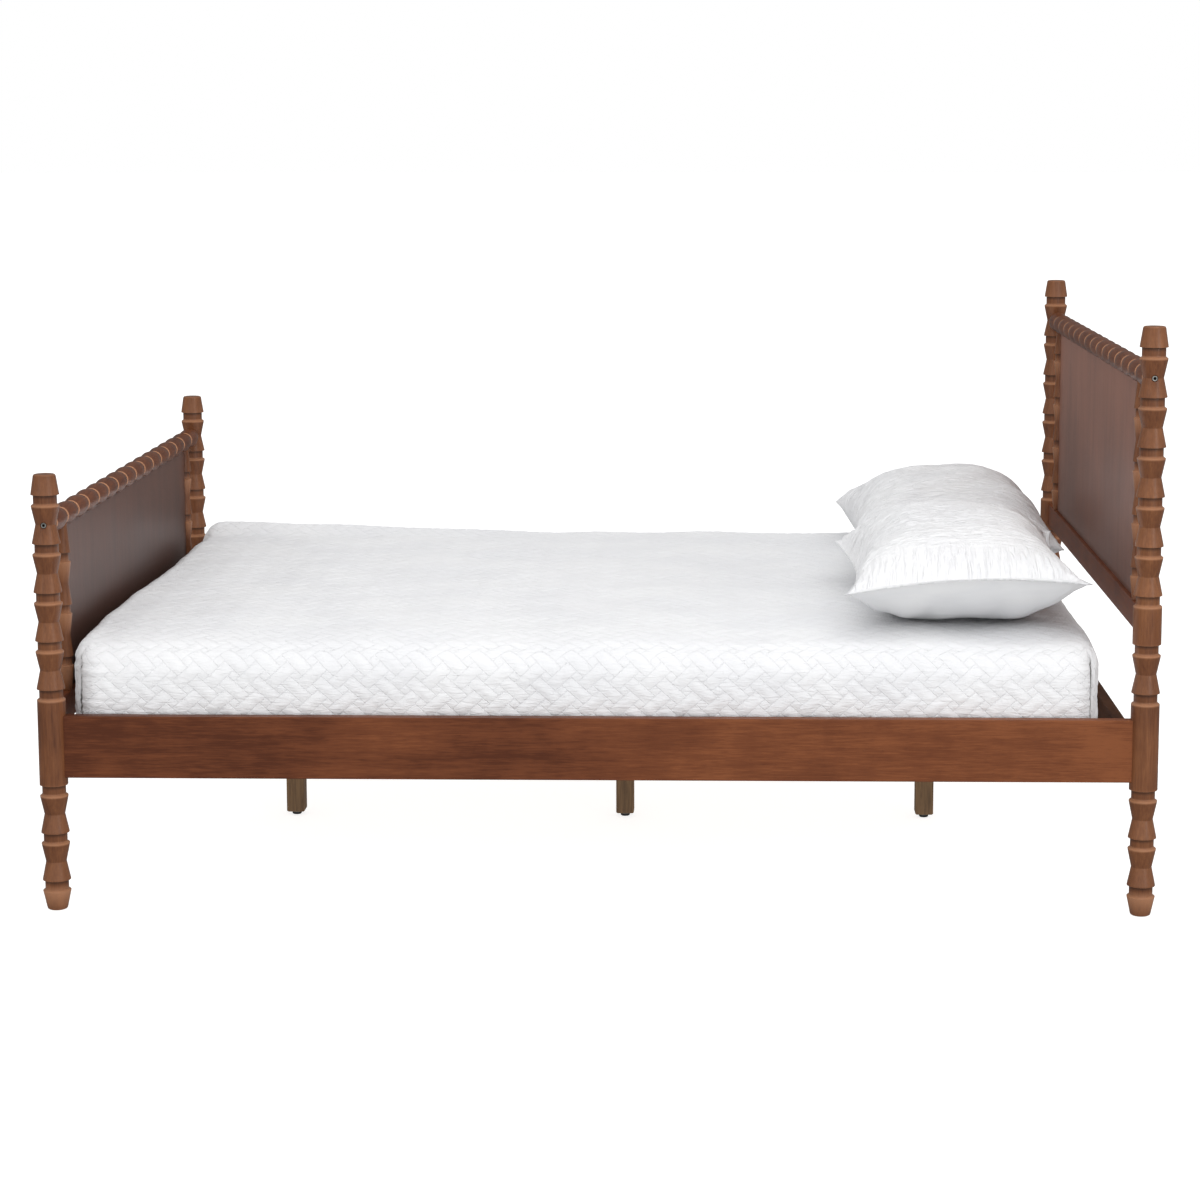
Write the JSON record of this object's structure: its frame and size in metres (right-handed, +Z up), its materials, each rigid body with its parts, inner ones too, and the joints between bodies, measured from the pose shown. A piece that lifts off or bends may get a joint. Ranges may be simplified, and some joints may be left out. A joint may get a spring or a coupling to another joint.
{
  "type": "spindle bed",
  "caption": "Queen-size spindle bed with turned posts, beaded top rails, flat head and foot panels, slatted deck, quilted mattress and pillow shams",
  "frame": {"origin": "On the floor at the centre of the four posts", "axes": "+X towards the headboard, +Y to the left seen from the foot, +Z up"},
  "size_m": [2.216, 1.6458, 1.168],
  "materials": {
    "walnut_stain": "satin",
    "walnut_veneer": "satin",
    "brown_rail_stock": "satin",
    "slat_pine": "matte",
    "glide_nylon": "matte",
    "zinc_steel": "satin",
    "mattress_foam": "matte",
    "quilted_cotton": "matte"
  },
  "bodies": {
    "frame": {"beam_bracket_foot": "zinc_steel", "beam_bracket_head": "zinc_steel", "beam_bracket_screws": "zinc_steel", "board_dowels": "slat_pine", "centre_beam": "brown_rail_stock", "centre_leg_foot": "brown_rail_stock", "centre_leg_head": "brown_rail_stock", "centre_leg_middle": "brown_rail_stock", "cleat_screws": "zinc_steel", "footboard_cross_rail": "walnut_stain", "footboard_lower_board": "walnut_stain", "footboard_panel": "walnut_veneer", "footboard_post_left": "walnut_stain", "footboard_post_right": "walnut_stain", "footboard_spindle_left": "walnut_stain", "footboard_spindle_right": "walnut_stain", "footboard_top_rail": "walnut_stain", "glide_sockets": "zinc_steel", "headboard_cross_rail": "walnut_stain", "headboard_lower_board": "walnut_stain", "headboard_panel": "walnut_veneer", "headboard_post_left": "walnut_stain", "headboard_post_right": "walnut_stain", "headboard_spindle_left": "walnut_stain", "headboard_spindle_right": "walnut_stain", "headboard_top_rail": "walnut_stain", "leg_hanger_bolts": "zinc_steel", "side_rail_barrel_nuts": "zinc_steel", "side_rail_bolts": "zinc_steel", "side_rail_left": "walnut_stain", "side_rail_right": "walnut_stain", "slat_01": "slat_pine", "slat_02": "slat_pine", "slat_03": "slat_pine", "slat_04": "slat_pine", "slat_05": "slat_pine", "slat_06": "slat_pine", "slat_07": "slat_pine", "slat_08": "slat_pine", "slat_09": "slat_pine", "slat_10": "slat_pine", "slat_11": "slat_pine", "slat_12": "slat_pine", "slat_cleat_left": "brown_rail_stock", "slat_cleat_right": "brown_rail_stock", "slat_screws": "zinc_steel", "top_rail_barrel_nuts": "zinc_steel", "top_rail_bolts": "zinc_steel"},
    "mattress_body": {"mattress_core": "mattress_foam", "mattress_cover": "quilted_cotton"},
    "pillow_left_body": {"pillow_left": "quilted_cotton"},
    "pillow_right_body": {"pillow_right": "quilted_cotton"},
    "glide_foot_body": {"glide_foot": "glide_nylon"},
    "glide_middle_body": {"glide_middle": "glide_nylon"},
    "glide_head_body": {"glide_head": "glide_nylon"}
  },
  "joints": [
    {"name": "mattress_lift", "type": "slide", "parent": "frame", "child": "mattress_body", "axis": [0, 0, 1], "range_m": [0, 0.5]},
    {"name": "pillow_left_lift", "type": "slide", "parent": "mattress_body", "child": "pillow_left_body", "axis": [0, 0, 1], "range_m": [0, 0.3]},
    {"name": "pillow_right_lift", "type": "slide", "parent": "mattress_body", "child": "pillow_right_body", "axis": [0, 0, 1], "range_m": [0, 0.3]},
    {"name": "glide_foot_level", "type": "slide", "parent": "frame", "child": "glide_foot_body", "axis": [0, 0, -1], "range_m": [0, 0.01]},
    {"name": "glide_middle_level", "type": "slide", "parent": "frame", "child": "glide_middle_body", "axis": [0, 0, -1], "range_m": [0, 0.01]},
    {"name": "glide_head_level", "type": "slide", "parent": "frame", "child": "glide_head_body", "axis": [0, 0, -1], "range_m": [0, 0.01]}
  ]
}
